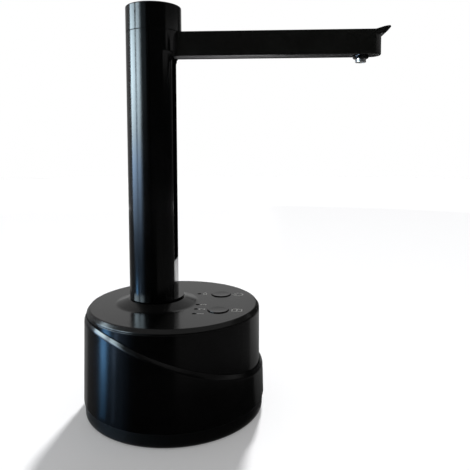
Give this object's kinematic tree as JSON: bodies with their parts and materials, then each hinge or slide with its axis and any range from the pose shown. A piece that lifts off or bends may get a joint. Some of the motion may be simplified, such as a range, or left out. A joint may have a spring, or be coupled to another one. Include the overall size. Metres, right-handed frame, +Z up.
{
  "type": "bottled water pump",
  "caption": "Desktop pump for bottled water: round base with gear pump and cell, column with a channel, and a spout arm that folds down into the channel.",
  "frame": {"origin": "centre of the underside, on the non-slip pad", "axes": "+Z up the column, +X along the open arm towards the glass, +Y towards the power button"},
  "size_m": [0.2086, 0.1248, 0.2743],
  "materials": {
    "gloss_black": "high gloss moulded",
    "satin_black": "satin moulded",
    "rubber": "matte",
    "steel": "polished",
    "brass": "machined",
    "white_plastic": "natural moulded",
    "smoke_lens": "clear smoked",
    "board_green": "solder mask",
    "cell_blue": "shrink sleeve",
    "silicone": "translucent food grade",
    "lead_red": "satin insulation",
    "lead_black": "satin insulation"
  },
  "bodies": {
    "base": {"non_slip_pad": "rubber", "bottom_cover": "satin_black", "upper_housing": "gloss_black", "base_sleeve": "gloss_black", "top_panel": "gloss_black", "cover_screw_1": "steel", "cover_screw_2": "steel", "cover_screw_3": "steel", "cover_screw_4": "steel", "column_screw_1": "steel", "column_screw_2": "steel", "column_screw_3": "steel", "board_screw_1": "steel", "board_screw_2": "steel", "control_board": "board_green", "light_guide_1": "smoke_lens", "light_guide_2": "smoke_lens", "light_guide_3": "smoke_lens", "light_guide_4": "smoke_lens", "power_switch": "satin_black", "amount_switch": "satin_black", "battery_cell": "cell_blue", "battery_cradle": "white_plastic", "battery_lead_red": "lead_red", "battery_lead_black": "lead_black", "motor_lead_red": "lead_red", "motor_lead_black": "lead_black", "port_recess": "satin_black", "charging_socket": "steel", "charging_board": "board_green", "inlet_fitting": "satin_black", "inlet_hose": "silicone", "motor_can": "steel", "motor_end_cap": "satin_black", "motor_saddle": "white_plastic", "motor_strap": "steel", "pump_body": "satin_black", "pump_cover": "white_plastic", "riser_hose": "silicone", "column_front_shell": "gloss_black", "column_rear_shell": "gloss_black", "column_cap": "gloss_black", "swivel_elbow": "satin_black", "hinge_pin": "steel", "hinge_washer_near": "rubber", "hinge_washer_far": "rubber"},
    "arm": {"arm_shell": "gloss_black", "arm_lower_cover": "satin_black", "swivel_block": "satin_black", "swivel_seal": "rubber", "arm_hose": "silicone", "nozzle_collar": "gloss_black", "nozzle_tube": "steel"},
    "power_key": {"power_button": "gloss_black", "power_switch_plunger": "white_plastic"},
    "amount_key": {"amount_button": "gloss_black", "amount_switch_plunger": "white_plastic"},
    "motor_shaft": {"motor_rotor": "brass", "drive_gear": "white_plastic"},
    "idler": {"idler_gear": "white_plastic"}
  },
  "joints": [
    {"name": "arm_fold", "type": "hinge", "parent": "base", "child": "arm", "pos_m": [-0.0037, 0, 0.24885], "axis": [0, 1, 0], "range_deg": [0, 90]},
    {"name": "power_press", "type": "slide", "parent": "base", "child": "power_key", "axis": [0, 0, -1], "range_m": [0, 0.0008], "stiffness_N_per_m": 800},
    {"name": "amount_press", "type": "slide", "parent": "base", "child": "amount_key", "axis": [0, 0, -1], "range_m": [0, 0.0008], "stiffness_N_per_m": 800},
    {"name": "motor_spin", "type": "hinge", "parent": "base", "child": "motor_shaft", "pos_m": [-0.014, 0, 0.027], "axis": [0, 1, 0], "continuous": true},
    {"name": "idler_spin", "type": "hinge", "parent": "base", "child": "idler", "pos_m": [-0.014, 0.0098, 0.017], "axis": [0, 1, 0], "continuous": true}
  ],
  "couplings": [
    {"joint": "idler_spin", "follows": "motor_spin", "ratio": -1}
  ]
}
